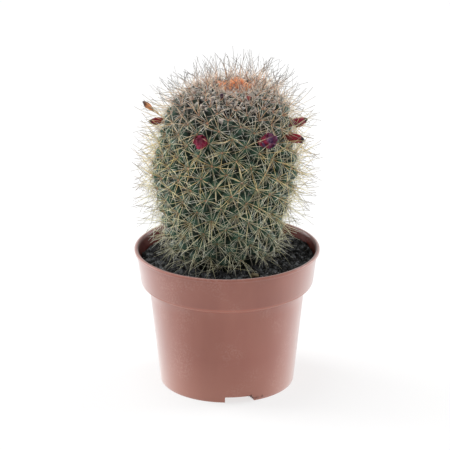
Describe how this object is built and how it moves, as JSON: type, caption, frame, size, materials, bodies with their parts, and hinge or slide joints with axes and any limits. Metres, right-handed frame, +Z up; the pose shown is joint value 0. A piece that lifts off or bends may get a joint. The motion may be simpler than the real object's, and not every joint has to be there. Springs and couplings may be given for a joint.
{
  "type": "potted round cactus",
  "caption": "Round pincushion cactus with spiral tubercles, spreading spines, a woolly crown tuft and withered flowers, growing in a tapered plastic nursery pot filled with peat.",
  "frame": {"origin": "on the pot's axis, at the plane that the foot ring stands on", "axes": "+Z up along the pot's axis; -Y faces the viewer, with a notch of the foot ring front right; +X to the viewer's right, the way the crown leans"},
  "size_m": [0.1223, 0.1228, 0.2219],
  "materials": {
    "pot_plastic": "satin",
    "peat": "matte",
    "stem_skin": "satin",
    "young_spines": "matte",
    "withered_flower": "matte",
    "bud": "matte",
    "spines": "satin",
    "wool": "matte"
  },
  "bodies": {
    "root": {"pot": "pot_plastic", "soil": "peat", "cactus": "stem_skin", "crown_tuft": "young_spines", "flower_1": "withered_flower", "flower_2": "withered_flower", "flower_3": "withered_flower", "flower_4": "withered_flower", "flower_5": "withered_flower", "flower_6": "withered_flower", "flower_7": "withered_flower", "flower_8": "withered_flower", "flower_9": "withered_flower", "flower_10": "withered_flower", "bud_1": "bud", "bud_2": "bud"}
  },
  "joints": []
}
